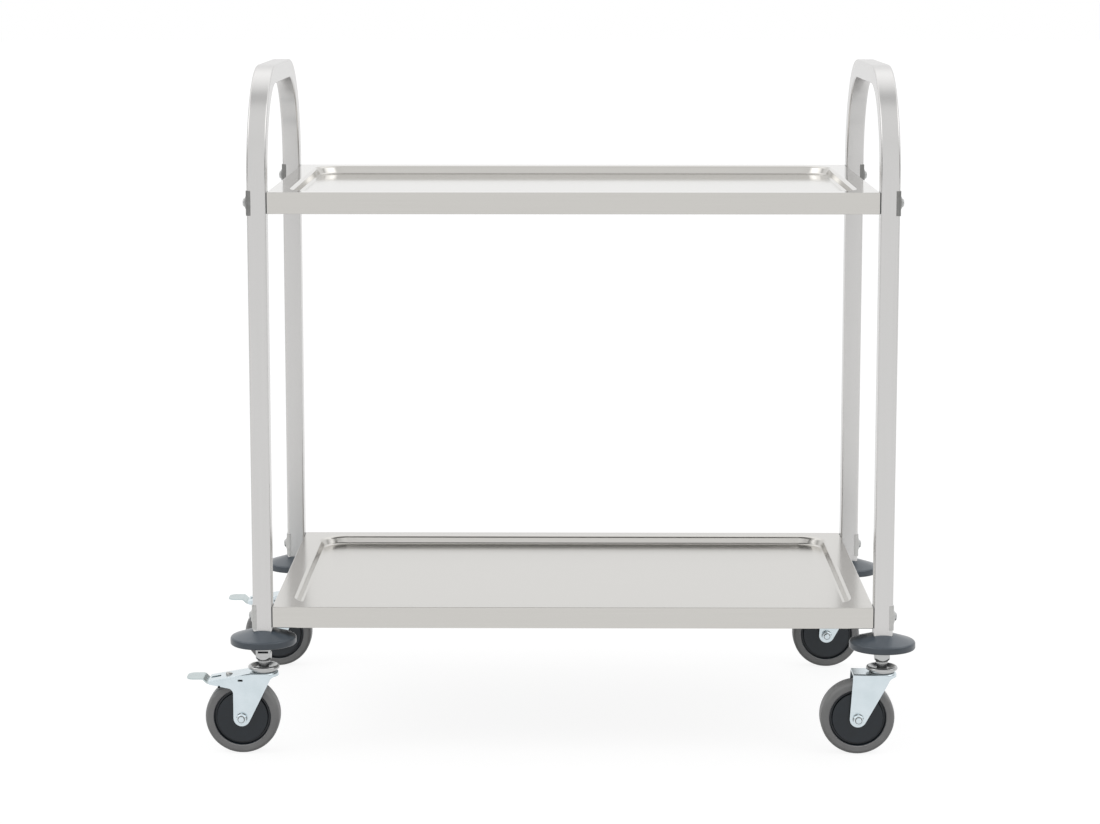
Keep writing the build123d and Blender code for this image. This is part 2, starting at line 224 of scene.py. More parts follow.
def moulded(name, low, high, grain, roughness, relief):
    """Rubber or plastic with the fine grain that its mould leaves."""
    material, tree, shader = new_material(name)
    fine, _ = mottled(tree, low, high, grain)
    _, tint = mottled(tree, low, high, PATCH * grain)
    bump = add_node(tree, "Bump", {"Height": fine, "Strength": relief, "Distance": BUMP_HEIGHT})
    connect(tree, shader, {"Base Color": tint, "Roughness": roughness, "Normal": bump.outputs[0]})
    return material


# Bright zinc with a blue passivation: cool and nearly white, a little cloudy.
zinc = metal("zinc_plated_steel", "#CED9DE", "#D6E0E5", CLOUD, 0.20, 0.04)
# The brake lever's zinc is a shade greyer, so the pedal stands off from the white fork.
lever_zinc = metal("zinc_plated_lever_steel", "#B5C1C2", "#BDC9CA", CLOUD, 0.20, 0.04)
# Upper saddle and axle washers: half dull, darker than the tube with painted shade and reflection.
shaded_washer_metal = metal("painted_shade_washers", "#7C7C7A", "#868685", STAMPED, 0.25)
# Lower saddle washers, the same steel lit with painted reflection, and tail rivets: only a little
# darker than the tube.
lit_washer_metal = metal("lit_washer_metal", "#B2B2B0", "#BCBCBA", STAMPED, 0.3)
# The undersides of the trays: dull mid grey, painted shade for the shadow under the cart.
shaded_underside_steel = metal("painted_shade_underside", "#8A8A88", "#929290", STAMPED, 0.45)
# Black oxide: dark slots, ears and spring ends.
# Black steel: painted shade in the collars' slots and the forks' ear windows, and the spring ends.
black_and_shade_steel = metal("black_and_painted_shade", "#26282A", "#2E3032", STAMPED, 0.45)
# Turned steel under nickel plate: soft mirror, with the faint rings of the lathe.
nickel = metal("nickel_plated_steel", "#B6B7B7", "#C0C1C0", LATHE_RING, 0.30, 0.04, (0.05, 0.05, 1))
# Blue-grey rubber with a low sheen that lights the bumper's crown. The corner pads take it as
# painted shade in the joints.
bumper_rubber = moulded("moulded_bumper_rubber", "#4E565E", "#555D65", 1.0 * MM, 0.3, 0.1)
# Mid grey, matt rubber, much paler than the hub.
tyre_rubber = moulded("thermoplastic_tyre_rubber", "#909090", "#989898", 1.2 * MM, 0.5, 0.2)
# Charcoal plastic, a little glossier than the tyre round it.
hub_plastic = moulded("moulded_polypropylene", "#0C161E", "#121D26", 0.8 * MM, 0.35, 0.12)
print("materials", len(bpy.data.materials))

# %% [markdown]
# ## Mesh helpers
#
# Most pieces here are one of four kinds: a face pulled along a path, a side view pulled sideways, a
# profile turned on a lathe, or one solid cut from another. Each kind is a few lines round one or
# two bmesh operators. Sheet and moulded edges are never sharp, so every outline point carries its
# own rounding, as the distance from the corner at which the round starts.

# %% Draw and round
MERGE = 2e-6  # metres: points nearer than this become one
SAME = 1e-5  # metres: places nearer than this count as the same


def only(kind, geom):
    """The vertices, edges or faces in a bmesh operator's result."""
    return [g for g in geom if isinstance(g, kind)]


def draw_line(bm, points):
    """An open line of edges; returns its vertices."""
    verts = [bm.verts.new(point) for point in points]
    for pair in zip(verts, verts[1:]):
        bm.edges.new(pair)
    return verts


def rounded(bm, geom, amount, segments, affect):
    """Bevel with a round profile."""
    bmesh.ops.bevel(bm, geom=geom, offset=amount, offset_type="OFFSET", segments=segments,
                    profile=0.5, affect=affect, material=-1, clamp_overlap=True)


def round_corners(bm, verts, outline, segments):
    """Round each vertex by the millimetres that its outline point carries."""
    for vert, (_, _, rounding) in zip(verts, outline):
        if rounding:
            rounded(bm, [vert], rounding * MM, segments, "VERTICES")


print("points nearer than", MERGE / MM, "mm are merged")


# %% Pull and turn
def with_edges(faces):
    """Faces and their edges: given both, an extrusion leaves no face behind inside."""
    return faces + list(dict.fromkeys(e for f in faces for e in f.edges))


def pull(bm, faces, vector):
    """Extrude faces along a vector and return the moved ones."""
    made = bmesh.ops.extrude_face_region(bm, geom=with_edges(faces))["geom"]
    bmesh.ops.translate(bm, verts=only(BMVert, made), vec=vector)
    return only(BMFace, made)


def turn(bm, faces, centre, axis, angle, steps):
    """Sweep faces round an axis and return the last ones."""
    made = bmesh.ops.spin(bm, geom=with_edges(faces), cent=centre, axis=axis, angle=angle,
                          steps=steps)
    return only(BMFace, made["geom_last"])


def draw_out(bm, edges, vector):
    """Extrude edges into sheet along a vector and return all that was made."""
    made = bmesh.ops.extrude_edge_only(bm, edges=edges)["geom"]
    bmesh.ops.translate(bm, verts=only(BMVert, made), vec=vector)
    return made


def face_towards(bm, direction):
    """Make an open sheet's normals agree, with its largest face towards a direction."""
    bmesh.ops.recalc_face_normals(bm, faces=bm.faces)
    if max(bm.faces, key=lambda f: f.calc_area()).normal.dot(direction) < 0:
        bmesh.ops.reverse_faces(bm, faces=bm.faces)


def thicken(bm, thickness):
    """Give an open sheet its thickness."""
    bmesh.ops.solidify(bm, geom=bm.faces[:], thickness=thickness)
    bmesh.ops.recalc_face_normals(bm, faces=bm.faces)


print("made pull, turn, draw_out, face_towards and thicken")


# %% Slabs and turned solids
def moved(x, y, z):
    """A move in millimetres, as a matrix."""
    return Matrix.Translation((x * MM, y * MM, z * MM))


def rectangle(left, right, low, high, rounding=0):
    """Outline of a rectangle, in millimetres."""
    return [(left, low, rounding), (right, low, rounding), (right, high, rounding),
            (left, high, rounding)]


def pin_profile(radius, foot, head, rounding=0):
    """Lathe profile of a plain pin with a rounded head, in millimetres."""
    return [(0, foot, 0), (radius, foot, 0), (radius, head, rounding), (0, head, 0)]


def lathe(profile, axis, steps, centre=(0, 0, 0)):
    """A closed solid from (radius, height, rounding) points in millimetres, spun about an axis."""
    bm = bmesh.new()
    side = X_AXIS if abs(axis.x) < 0.5 else Y_AXIS
    verts = draw_line(bm, [Vector(centre) + side * r * MM + axis * h * MM for r, h, _ in profile])
    round_corners(bm, verts, profile, 4)
    bmesh.ops.spin(bm, geom=bm.verts[:] + bm.edges[:], cent=centre, axis=axis, angle=2 * pi,
                   steps=steps, use_merge=True)
    bmesh.ops.remove_doubles(bm, verts=bm.verts, dist=MERGE)
    bmesh.ops.recalc_face_normals(bm, faces=bm.faces)
    return bm


def slab(outline, plane, depth):
    """A closed slab from (u, v, rounding) points in millimetres, pulled along a plane's Z."""
    bm = bmesh.new()
    verts = [bm.verts.new((u * MM, v * MM, 0)) for u, v, _ in outline]
    bm.faces.new(verts)
    round_corners(bm, verts, outline, 8)
    bmesh.ops.remove_doubles(bm, verts=bm.verts, dist=SAME)
    pull(bm, bm.faces[:], (0, 0, depth * MM))
    bmesh.ops.transform(bm, matrix=plane, verts=bm.verts)
    bmesh.ops.recalc_face_normals(bm, faces=bm.faces)
    return bm


print("a plain slab has", len(slab(rectangle(-1, 1, -1, 1), Matrix(), 1).faces), "faces")


# %% Cut, copy and finish
def combine(bm, tool, operation):
    """Boolean of two closed bmeshes, which are both used up."""
    pair = []
    for source in (bm, tool):
        mesh = bpy.data.meshes.new("work")
        source.to_mesh(mesh)
        source.free()
        pair.append(bpy.data.objects.new("work", mesh))
        bpy.context.collection.objects.link(pair[-1])
    cut = pair[0].modifiers.new("cut", "BOOLEAN")
    cut.operation, cut.object, cut.solver = operation, pair[1], "EXACT"
    evaluated = pair[0].evaluated_get(bpy.context.evaluated_depsgraph_get())
    made = bpy.data.meshes.new_from_object(evaluated)
    result = bmesh.new()
    result.from_mesh(made)
    bpy.data.batch_remove(pair + [obj.data for obj in pair] + [made])
    bmesh.ops.remove_doubles(result, verts=result.verts, dist=MERGE)
    bmesh.ops.recalc_face_normals(result, faces=result.faces)
    return result


def assembled(*copies):
    """One bmesh from (source, matrix) pairs: each source is copied and moved by its matrix."""
    bm = bmesh.new()
    for source, matrix in copies:
        mesh = bpy.data.meshes.new("work")
        source.to_mesh(mesh)
        mesh.transform(matrix)
        bm.from_mesh(mesh)
        bpy.data.meshes.remove(mesh)
    return bm


def finish_piece(name, bm, material, body, *nodes, smooth=35, sheet=0.0, inside=None):
    """Make the object, shade it smooth up to an angle, keep flats flat, and set it on a body."""
    mesh = bpy.data.meshes.new(name)
    bm.to_mesh(mesh)
    bm.free()
    mesh.materials.append(material)
    mesh.shade_smooth()
    mesh.set_sharp_from_angle(angle=radians(smooth))
    piece = bpy.data.objects.new(name, mesh)
    bpy.context.collection.objects.link(piece)
    if sheet:
        thick = piece.modifiers.new("sheet", "SOLIDIFY")
        thick.thickness, thick.offset, thick.use_even_offset = sheet, -1, True
        if inside:
            mesh.materials.append(inside)
            thick.material_offset = 1
    flats = piece.modifiers.new("flats", "WEIGHTED_NORMAL")
    flats.keep_sharp = True
    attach(piece, body)
    if nodes:
        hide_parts(*nodes)
    print(name, len(mesh.polygons), "faces")


# %% [markdown]
# ## Side frames
#
# Each side of the cart is one square tube, bent into a front leg, a push handle and a rear leg. A
# tube has the same section all along, so the section is drawn once, with its corners rounded, and
# then pulled up the leg, turned through the bend, pulled along the handle, and so on down the other
# leg. The end faces are taken off, and Solidify gives the tube its wall.

# %% Bend the tubes
TUBE_CORNER, TUBE_WALL = 2.6 * MM, 1.2 * MM
HANDLE_BEND, BEND_STEPS = 137.5 * MM, 28
bend_height = HANDLE_TOP - TUBE / 2 - HANDLE_BEND
bend_y = LEG_Y - HANDLE_BEND
for x, node in ((-LEG_X, "left_side_frame"), (LEG_X, "right_side_frame")):
    bm = bmesh.new()
    bmesh.ops.create_grid(bm, x_segments=1, y_segments=1, size=TUBE / 2,
                          matrix=Matrix.Translation((x, -LEG_Y, LEG_END)))
    rounded(bm, bm.verts[:], TUBE_CORNER, 5, "VERTICES")
    end = pull(bm, bm.faces[:], (0, 0, bend_height - LEG_END))
    end = turn(bm, end, (x, -bend_y, bend_height), X_AXIS, -pi / 2, BEND_STEPS)
    end = pull(bm, end, (0, 2 * bend_y, 0))
    end = turn(bm, end, (x, bend_y, bend_height), X_AXIS, -pi / 2, BEND_STEPS)
    pull(bm, end, (0, 0, LEG_END - bend_height))
    bmesh.ops.recalc_face_normals(bm, faces=bm.faces)
    caps = [f for f in bm.faces if all(v.co.z < LEG_END + SAME for v in f.verts)]
    bmesh.ops.delete(bm, geom=caps, context="FACES_ONLY")
    finish_piece(node.replace("frame", "tube"), bm, tube_steel, "cart", node, sheet=TUBE_WALL)

# %% [markdown]
# ## Tray shelves
#
# A shelf is one sheet: the press sinks the floor, and a brake folds the four skirts down and their
# lower edges in. It is made the same way here. The mouth of the tray is a rectangle with round
# corners. Its border is drawn outwards to the rim, down to the skirt and in to the return lip, and
# its face is pushed down to the floor. The folds are bevelled to their bend radius, and Solidify
# gives the sheet its thickness, with a darker steel on its underside as painted shade.

# %% Sizes and borders of the trays
RIM, MOUTH_CORNER, TRAY_DEPTH, TRAY_DRAFT = 27 * MM, 35 * MM, 11 * MM, 20
BEAD, FLOOR_BEND, SKIRT_BEND, SKIRT_CORNER = 3.4 * MM, 2.6 * MM, 2.2 * MM, 1.8 * MM
RETURN_LIP, SHEET = 10 * MM, 1.0 * MM
PAD = 0.4 * MM  # the joint between a tray's end and the leg
SHARP_FOLD = 1.0  # radians
draft_inset = TRAY_DEPTH * tan(radians(TRAY_DRAFT))


def reach_rim(vert, mouth, outer):
    """Move a corner point of the mouth out from its arc's middle to the rim's straight edge."""
    middle = Vector((copysign(mouth.x - MOUTH_CORNER, vert.co.x),
                     copysign(mouth.y - MOUTH_CORNER, vert.co.y)))
    ray = vert.co.xy - middle
    reach = [(o - abs(m)) / abs(r) for o, m, r in zip(outer, middle, ray) if abs(r) > SAME]
    vert.co.xy = middle + ray * min(reach)


def draw_border(bm, edges, mouth, outer, drop):
    """Draw the mouth's edges out to the rim, along the skirt's drop, and in to the return lip."""
    rim = bmesh.ops.extrude_edge_only(bm, edges=edges)["geom"]
    for vert in only(BMVert, rim):
        reach_rim(vert, mouth, outer)
    skirt = draw_out(bm, [e for e in only(BMEdge, rim) if e.is_boundary], (0, 0, drop))
    feet = [e for e in only(BMEdge, skirt) if e.is_boundary]
    lip = bmesh.ops.extrude_edge_only(bm, edges=feet)["geom"]
    for vert in only(BMVert, lip):
        for i in (0, 1):
            if abs(vert.co[i]) > outer[i] - SAME:
                vert.co[i] = copysign(outer[i] - RETURN_LIP, vert.co[i])


def is_fold(edge, outer, heights):
    """Whether an edge is a sharp fold, level with the skirt's head or foot."""
    at_skirt = all(max(abs(v.co.x) - outer.x, abs(v.co.y) - outer.y) > -1.2 * SKIRT_CORNER
                   for v in edge.verts)
    level = any(sum(abs(z - v.co.z) for v in edge.verts) < SAME for z in heights)
    return not edge.is_boundary and at_skirt and level and edge.calc_face_angle(0) > SHARP_FOLD


print("the draft takes", round(draft_inset / MM, 1), "mm off each side of a tray's floor")

# %% Press the trays
for node in SHELVES:
    low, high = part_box(node)
    outer = high.xy - Vector((PAD, 0))
    mouth = outer - Vector((RIM, RIM))
    mouth_place = Matrix.Translation((0, 0, high.z)) @ Matrix.Diagonal((*mouth, 1, 1))
    bm = bmesh.new()
    bmesh.ops.create_grid(bm, x_segments=1, y_segments=1, size=1, matrix=mouth_place)
    rounded(bm, bm.verts[:], MOUTH_CORNER, 20, "VERTICES")
    floor, bead_edges = bm.faces[:], bm.edges[:]
    draw_border(bm, bead_edges, mouth, outer, low.z - high.z)
    floor = pull(bm, floor, (0, 0, -TRAY_DEPTH))
    shrink = [(half - draft_inset) / half for half in mouth]
    bmesh.ops.scale(bm, verts=floor[0].verts[:], vec=(*shrink, 1))
    floor_edges = floor[0].edges[:]
    corner_edges = [e for e in bm.edges if all(abs(v.co.x) > outer.x - SAME
                                               and abs(v.co.y) > outer.y - SAME for v in e.verts)]
    rounded(bm, bead_edges, BEAD, 8, "EDGES")
    rounded(bm, floor_edges, FLOOR_BEND, 6, "EDGES")
    rounded(bm, corner_edges, SKIRT_CORNER, 4, "EDGES")
    folds = [e for e in bm.edges if is_fold(e, outer, (low.z, high.z))]
    rounded(bm, folds, SKIRT_BEND, 4, "EDGES")
    bmesh.ops.remove_doubles(bm, verts=bm.verts, dist=MERGE)
    face_towards(bm, Z_AXIS)
    # The underside is a darker steel: painted shade for the shadow under the cart.
    finish_piece(node.replace("shelf", "tray"), bm, tray_steel[node], "cart", node, smooth=30,
                 sheet=SHEET, inside=shaded_underside_steel)

# %% [markdown]
# ## Shadow-gap pads
#
# A thin dark pad sits between each leg and the end of the shelf, as painted shade for the shadow in
# the joint. Only its edges show, as a dark line down the skirt and along the rim's end. It is a slab
# with round corners in the gap that the tray leaves, set back a little from the tray's outline.

# %% Cut the pads
PAD_SET_BACK, PAD_NARROWER, PAD_ROUND = 0.3, 1.4, 1.0
pads = []
for node in SHELVES:
    low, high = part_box(node)
    tall = (high.z - low.z) / MM / 2 - PAD_SET_BACK
    wide = TUBE / MM / 2 - PAD_NARROWER
    pad = slab(rectangle(-tall, tall, -wide, wide, PAD_ROUND), Matrix.Rotation(pi / 2, 4, "Y"),
               PAD / MM)
    for x, y in CORNERS.values():
        leg_face = copysign(LEG_X - TUBE / 2, x)
        start = min(leg_face, leg_face - copysign(PAD, x))
        pads.append((pad, Matrix.Translation((start, y, (low.z + high.z) / 2))))
# The pads are dark rubber: painted shade in the joints between legs and trays.
finish_piece("corner_shadow_pads", assembled(*pads), bumper_rubber, "cart")

# %% [markdown]
# ## Saddle washers and screws
#
# At each crossing of a leg and a shelf sits a washer that is folded round the leg's outer corners,
# with a raised cone in its middle for the screw. The washer is a folded line pulled up into a strip
# and thickened. The cone and the screw's pan head are turned, and two bars cut the cross recess.
# One of each is made, and copies go to all eight places, turned to face away from the cart.

# %% Fold the washers and turn the screws
WASHER_SHEET, WASHER_WRAP, WASHER_HEIGHT = 1.2 * MM, 5.0 * MM, 32 * MM
WASHER_CONE = [(0, 0.4, 0), (10.4, 0.4, 0), (10.4, 1.4, 0.4), (6.4, 3.4, 0.8), (0, 3.4, 0)]
PAN_HEAD = [(0, 3.4, 0), (5.5, 3.4, 0), (5.5, 4.5, 0.5), (3.9, 6.0, 1.0), (0, 6.0, 0)]
RECESS, RECESS_FLOOR, RECESS_CUT = rectangle(-2.8, 2.8, -0.6, 0.6), 4.6, 3

strip = bmesh.new()
wrap = [(-WASHER_WRAP, -TUBE / 2), (0, -TUBE / 2), (0, TUBE / 2), (-WASHER_WRAP, TUBE / 2)]
verts = draw_line(strip, [(x, y, -WASHER_HEIGHT / 2) for x, y in wrap])
rounded(strip, verts[1:3], TUBE_CORNER, 5, "VERTICES")
draw_out(strip, strip.edges[:], (0, 0, WASHER_HEIGHT))
face_towards(strip, -X_AXIS)
thicken(strip, WASHER_SHEET)
cone = lathe(WASHER_CONE, X_AXIS, 40)
screw = lathe(PAN_HEAD, X_AXIS, 40)
for angle in (0, pi / 2):
    across = moved(RECESS_FLOOR, 0, 0) @ Matrix.Rotation(pi / 2, 4, "Y")
    bar = slab(RECESS, Matrix.Rotation(angle, 4, "X") @ across, RECESS_CUT)
    screw = combine(screw, bar, "DIFFERENCE")
print("one washer", len(strip.faces) + len(cone.faces), "faces, one screw", len(screw.faces))

# %% Set the washers and screws
washer_low, washer_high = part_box("saddle_washers")
crossings = {}
for level, height in (("lower", washer_low.z + WASHER_HEIGHT / 2),
                      ("upper", washer_high.z - WASHER_HEIGHT / 2)):
    crossings[level] = [Matrix.Translation((x + copysign(TUBE / 2, x), y, height))
                        @ Matrix.Rotation(0 if x > 0 else pi, 4, "Z") for x, y in CORNERS.values()]
# The upper washers take the shaded copy of the steel, the lower ones the lit copy: painted
# reflection.
for level, steel, nodes in (("lower", lit_washer_metal, ()),
                            ("upper", shaded_washer_metal, ("saddle_washers",))):
    washers = assembled(*[(source, spot) for spot in crossings[level] for source in (strip, cone)])
    finish_piece(level + "_saddle_washers", washers, steel, "cart", *nodes)
screws = assembled(*[(screw, spot) for spot in crossings["lower"] + crossings["upper"]])
finish_piece("cross_recess_screws", screws, nickel, "cart", "shelf_bolts")

# %% [markdown]
# ## Corner bumpers
#
# Each leg end wears a moulded rubber disc with a low conical crown, so that the cart's corners
# touch a wall softly. A disc is a turned shape. The leg goes through it, so a square post is cut
# from its middle, and the cone then meets the leg's flat faces in shallow arches, as on the real
# one. The bumpers over the braked casters sit a little higher than the others.

# %% Turn the bumpers
bumper_low, bumper_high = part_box("corner_bumpers")
BUMPER_RADIUS = (bumper_high.y - LEG_Y) / MM
BUMPER_SOCKET = TUBE / MM / 2 + 0.15
BUMPER_TOP, BRAKED_LIFT = 19.6, 5 * MM
BUMPER_DISC = [(0, 0, 0), (BUMPER_RADIUS, 0, 2.0), (BUMPER_RADIUS, 9.5, 2.4),
               (12.5, BUMPER_TOP, 2.0), (0, BUMPER_TOP, 0)]


def upright(half, rounding, foot, head):
    """A square post between two heights."""
    return slab(rectangle(-half, half, -half, half, rounding), moved(0, 0, foot), head - foot)


leg = upright(BUMPER_SOCKET, 0, -1, BUMPER_TOP + 1.4)
disc = combine(lathe(BUMPER_DISC, Z_AXIS, 96), leg, "DIFFERENCE")
seats = []
for corner, (x, y) in CORNERS.items():
    seat = bumper_low.z + BRAKED_LIFT if corner in BRAKED else bumper_low.z
    seats.append((disc, Matrix.Translation((x, y, seat))))
finish_piece("rubber_corner_bumpers", assembled(*seats), bumper_rubber, "cart", "corner_bumpers")

# %% [markdown]
# ## Caster stems
#
# Under each bumper hangs the caster's fixed half: a square plug that fills the leg, its collar with
# a tapered foot and a slot in each side, a short neck, and the pressed dish that holds the balls.
# The round parts share one lathe profile from the kingpin's head to the neck. The collar is what a
# square block and a turned cone share, so its flat sides end in arches. A black core fills the
# slots as painted shade.

# %% Sizes of the stems
FORK_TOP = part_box("front_right_fork")[1].z / MM
COLLAR_FOOT, PLUG_FOOT, PLUG_LENGTH = FORK_TOP + 13.6, FORK_TOP + 32.0, 28
PLUG_HALF, COLLAR_HALF, CORE_HALF = (TUBE / 2 - TUBE_WALL) / MM, 9.9, 7.6
PLUG_ROUND, COLLAR_ROUND, CORE_ROUND = 4, 3.5, 2
SLOT_FOOT, SLOT_HEAD, SLOT_HALF = FORK_TOP + 25.0, FORK_TOP + 27.8, 6.9
SLOT_FLOOR, SLOT_CUT, SLOT_ROUND = 7, 8, 0.6
KINGPIN_AND_RACE = [(0, -5.2, 0), (9.4, -5.2, 0.6), (9.4, -2.9, 0.6), (6.0, -2.9, 0), (6.0, 0.4, 0),
                    (16.6, 0.4, 0.4), (17.0, 3.2, 0.4)]
DISH = [(20.2, 3.4, 0.4), (20.8, 4.6, 0.8), (20.4, 7.0, 1.4), (17.8, 8.6, 1.4), (10.4, 4.0, 1.0)]
RINGED_NECK = [(6.6, 4.0, 0.2), (6.6, 11.4, 0.3), (8.2, 11.6, 0.5), (8.2, 14.0, 0.5),
               (6.6, 14.2, 0.2), (6.6, 17.0, 0), (0, 17.0, 0)]
COLLAR_TAPER = [(0, COLLAR_FOOT, 0), (7.0, COLLAR_FOOT, 0.4), (10.3, COLLAR_FOOT + 2.8, 0.8),
                (14.6, COLLAR_FOOT + 8.4, 0), (14.6, PLUG_FOOT, 0), (0, PLUG_FOOT, 0)]
print("fork top", round(FORK_TOP, 1), "mm, plug from", round(PLUG_FOOT, 1), "mm")

# %% Turn the stems
SIDE_VIEW = Matrix.Rotation(pi / 2, 4, "X")
PLACE = {corner: Matrix.Translation((x, y, 0)) for corner, (x, y) in CORNERS.items()}
neck = lathe(KINGPIN_AND_RACE + DISH + RINGED_NECK, Z_AXIS, 72, (0, 0, FORK_TOP * MM))
collar = upright(COLLAR_HALF, COLLAR_ROUND, COLLAR_FOOT - 1, PLUG_FOOT + 1)
collar = combine(collar, lathe(COLLAR_TAPER, Z_AXIS, 72), "INTERSECT")
for quarter in range(4):
    side = Matrix.Rotation(quarter * pi / 2, 4, "Z") @ moved(0, -SLOT_FLOOR, 0) @ SIDE_VIEW
    slot = slab(rectangle(-SLOT_HALF, SLOT_HALF, SLOT_FOOT, SLOT_HEAD, SLOT_ROUND), side, SLOT_CUT)
    collar = combine(collar, slot, "DIFFERENCE")
plug = upright(PLUG_HALF, PLUG_ROUND, PLUG_FOOT, PLUG_FOOT + PLUG_LENGTH)
# The black core is painted shade inside the collar's slots.
core = upright(CORE_HALF, CORE_ROUND, SLOT_FOOT - 1, SLOT_HEAD + 1)
stems = assembled(*[(source, spot) for spot in PLACE.values() for source in (neck, collar, plug)])
finish_piece("swivel_stems", stems, nickel, "cart", "caster_stems")
cores = assembled(*[(core, spot) for spot in PLACE.values()])
finish_piece("stem_slot_shade", cores, black_and_shade_steel, "cart")

# %% [markdown]
# ## Stamped forks
#
# A fork is one steel sheet pressed into a channel: a top plate with a round nose about the swivel
# axis, and two cheeks that carry the axle. Seen from the side it has one outline and seen from
# above another, so the block that both outlines share is cut out first. Its top edges are bevelled
# to the sheet's bend radius, and a smaller block of the same kind, one sheet's thickness inside, is
# cut from it. The braked forks have a tail that slopes down over the brake lever.

# %% Sizes of the forks and wheels
PLATE, FOLD = 2.5, 3.0  # the sheet's thickness and bend radius
FORK_END = 11.0  # radius of the cheek's round end under the axle
LIP, NOSE, PLAIN_BACK = 6.0, 14.0, 39.0
TAIL_START, TAIL_SLOPE, TAIL_TIP = 15.0, 10.0, 4.5
TAIL_KNEE, CHEEK_HEAD, KNEE_ROUND = (-56.0, 91.3), 87.8, 6.0
fork_low, fork_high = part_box("front_right_fork")
FORK_HALF = (fork_high.y - fork_low.y) / MM / 2
TAIL_REACH = (-LEG_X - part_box("front_left_fork")[0].x) / MM
FAR = 2 * TAIL_REACH  # well past the tail
wheel_low, wheel_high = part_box("front_right_tyre")
WHEEL_RADIUS = (wheel_high.z - wheel_low.z) / 2 / MM
WHEEL_HALF = (wheel_high.y - wheel_low.y) / 2 / MM
TRAIL = {corner: (x - sum(end.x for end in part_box(corner + "_tyre")) / 2) / MM
         for corner, (x, _) in CORNERS.items()}
print("fork", round(2 * FORK_HALF, 1), "mm wide, trail", {c: round(t, 1) for c, t in TRAIL.items()})


# %% Outlines of the forks
def tail_top(reach, drop=0.0):
    """Height of the sloped tail behind the swivel axis, or of a line some way under its top."""
    down = (reach - TAIL_START) * tan(radians(TAIL_SLOPE)) + drop / cos(radians(TAIL_SLOPE))
    return FORK_TOP - down


def cheek_foot(axle, point, side):
    """Corner where the cheek's edge from a point, which touches its round end, meets its foot."""
    gap = Vector(axle) - Vector(point)
    heading = atan2(gap.y, gap.x) + side * asin(FORK_END / gap.length)
    x = point[0] + (axle[1] - FORK_END - point[1]) / tan(heading)
    return (x, axle[1] - FORK_END, abs(x - axle[0]))


def cheek(axle_x, back, braked):
    """Side view of a fork, as (x, z, rounding) points about the swivel axis."""
    axle = (axle_x, WHEEL_RADIUS)
    front_foot = cheek_foot(axle, (NOSE, FORK_TOP), 1)
    share = (FORK_TOP - LIP - front_foot[1]) / (FORK_TOP - front_foot[1])
    under_lip = front_foot[0] + (NOSE - front_foot[0]) * share
    front = [front_foot, (under_lip, FORK_TOP - LIP, 4.0), (FORK_HALF, FORK_TOP - LIP, 0),
             (FORK_HALF, FORK_TOP, 0)]
    if not braked:
        return [(-back, FORK_TOP, 0), cheek_foot(axle, (-back, FORK_TOP), -1)] + front
    tip = tail_top(TAIL_REACH)
    tail = [(-TAIL_START, FORK_TOP, 0), (-TAIL_REACH, tip, 0), (-TAIL_REACH, tip - TAIL_TIP, 1.5),
            (*TAIL_KNEE, KNEE_ROUND), (-back, CHEEK_HEAD, KNEE_ROUND)]
    return tail + [cheek_foot(axle, (-back, tip), -1)] + front


def is_top_fold(edge):
    """Whether an edge is an outer fold between a fork's top plate and its cheeks or nose."""
    if len(edge.link_faces) != 2 or not edge.is_convex:
        return False
    normals = [face.normal for face in edge.link_faces]
    return (max(n.z for n in normals) > 0.9 and abs(min(n.z for n in normals)) < 0.3
            and min(n.x for n in normals) > -0.9)


print("tail from", round(FORK_TOP, 1), "down to", round(tail_top(TAIL_REACH), 1), "mm")

# %% Press the forks
KINGPIN_HOLE, KINGPIN_FOOT = 6.2, 90
CUT_FOOT, CUT_HEAD = 80, 120  # heights between which a cut through the top plate runs
TAIL_SLOT_BACK, FORK_SLOT_FRONT, TAIL_SLOT_HALF, TAIL_SLOT_ROUND = -69.5, -56.5, 4.2, 2
EAR_WINDOW, WINDOW_HALF = rectangle(-32.9, -26.1, 98.4, 101.1, 0.8), 30
PLAN_FOOT, INNER_FOOT = -10, -5  # below the cheeks


def cut_tail_slot(bm, front):
    """Cut the slot that the tail and the lever under it share, up to its front end."""
    slot = rectangle(TAIL_SLOT_BACK, front, -TAIL_SLOT_HALF, TAIL_SLOT_HALF, TAIL_SLOT_ROUND)
    return combine(bm, slab(slot, moved(0, 0, CUT_FOOT), CUT_HEAD - CUT_FOOT), "DIFFERENCE")


def channel(side_view, half):
    """What a side view and a plan with a round nose have in common."""
    bm = slab(side_view, moved(0, half, 0) @ SIDE_VIEW, 2 * half)
    plan = [(-FAR, -half, 0), (half, -half, half), (half, half, half), (-FAR, half, 0)]
    return combine(bm, slab(plan, moved(0, 0, PLAN_FOOT), 2 * FORK_TOP), "INTERSECT")


def pressed_fork(axle_x, braked):
    """The outer block with rounded folds, less the inner block, kingpin hole and brake slots."""
    back = FORK_END - axle_x if braked else PLAIN_BACK
    bm = channel(cheek(axle_x, back, braked), FORK_HALF)
    rounded(bm, [e for e in bm.edges if is_top_fold(e)], FOLD * MM, 4, "EDGES")
    kingpin = lathe(pin_profile(KINGPIN_HOLE, KINGPIN_FOOT, CUT_HEAD), Z_AXIS, 32)
    bm = combine(bm, kingpin, "DIFFERENCE")
    under = FORK_TOP - PLATE
    inner = [(-FAR, INNER_FOOT, 0), (FORK_HALF, INNER_FOOT, 0), (FORK_HALF, under, 0),
             (-TAIL_START, under, 0), (-FAR, tail_top(FAR, PLATE) if braked else under, 0)]
    bm = combine(bm, channel(inner, FORK_HALF - PLATE), "DIFFERENCE")
    if braked:
        bm = cut_tail_slot(bm, FORK_SLOT_FRONT)
        window = slab(EAR_WINDOW, moved(0, WINDOW_HALF, 0) @ SIDE_VIEW, 2 * WINDOW_HALF)
        bm = combine(bm, window, "DIFFERENCE")
    return bm


forks = {braked: pressed_fork(-TRAIL[corner], braked)
         for braked, corner in ((False, "front_right"), (True, "front_left"))}
print("plain fork", len(forks[False].faces), "faces, braked fork", len(forks[True].faces))

